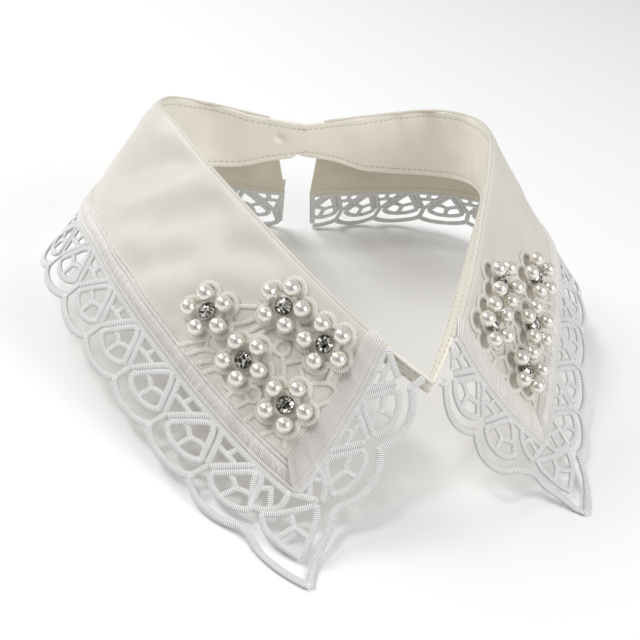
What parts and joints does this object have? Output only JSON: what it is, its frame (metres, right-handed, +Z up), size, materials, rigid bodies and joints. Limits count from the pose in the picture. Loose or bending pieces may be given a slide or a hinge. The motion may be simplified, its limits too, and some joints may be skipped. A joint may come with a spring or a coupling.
{
  "type": "detachable collar",
  "caption": "Pointed detachable collar: a curved neck stand carrying two folded-down satin falls, edged with pierced lace and sewn with beaded flowers, standing on its lace edge.",
  "frame": {"origin": "on the table, under the middle of the collar's box in plan", "axes": "+Z up from the table, -Y to the centre front, +X to the collar's right half as seen from the front"},
  "size_m": [0.2118, 0.2014, 0.078],
  "materials": {
    "satin": "cream duchesse satin, soft sheen",
    "stitch": "satin stitch in off-white thread",
    "lace": "white guipure lace, matt thread",
    "pearl": "ivory imitation pearl, glossy",
    "button": "ivory button, glossy"
  },
  "bodies": {
    "root": {"stand": "satin", "back_button": "button", "leaf_left": "satin", "border_left": "stitch", "applique_left": "stitch", "lace_left": "lace", "leaf_right": "satin", "border_right": "stitch", "applique_right": "stitch", "lace_right": "lace", "flower_left_1": "pearl", "flower_left_2": "pearl", "flower_left_3": "pearl", "flower_left_4": "pearl", "flower_left_5": "pearl", "flower_right_1": "pearl", "flower_right_2": "pearl", "flower_right_3": "pearl", "flower_right_4": "pearl", "flower_right_5": "pearl"}
  },
  "joints": []
}
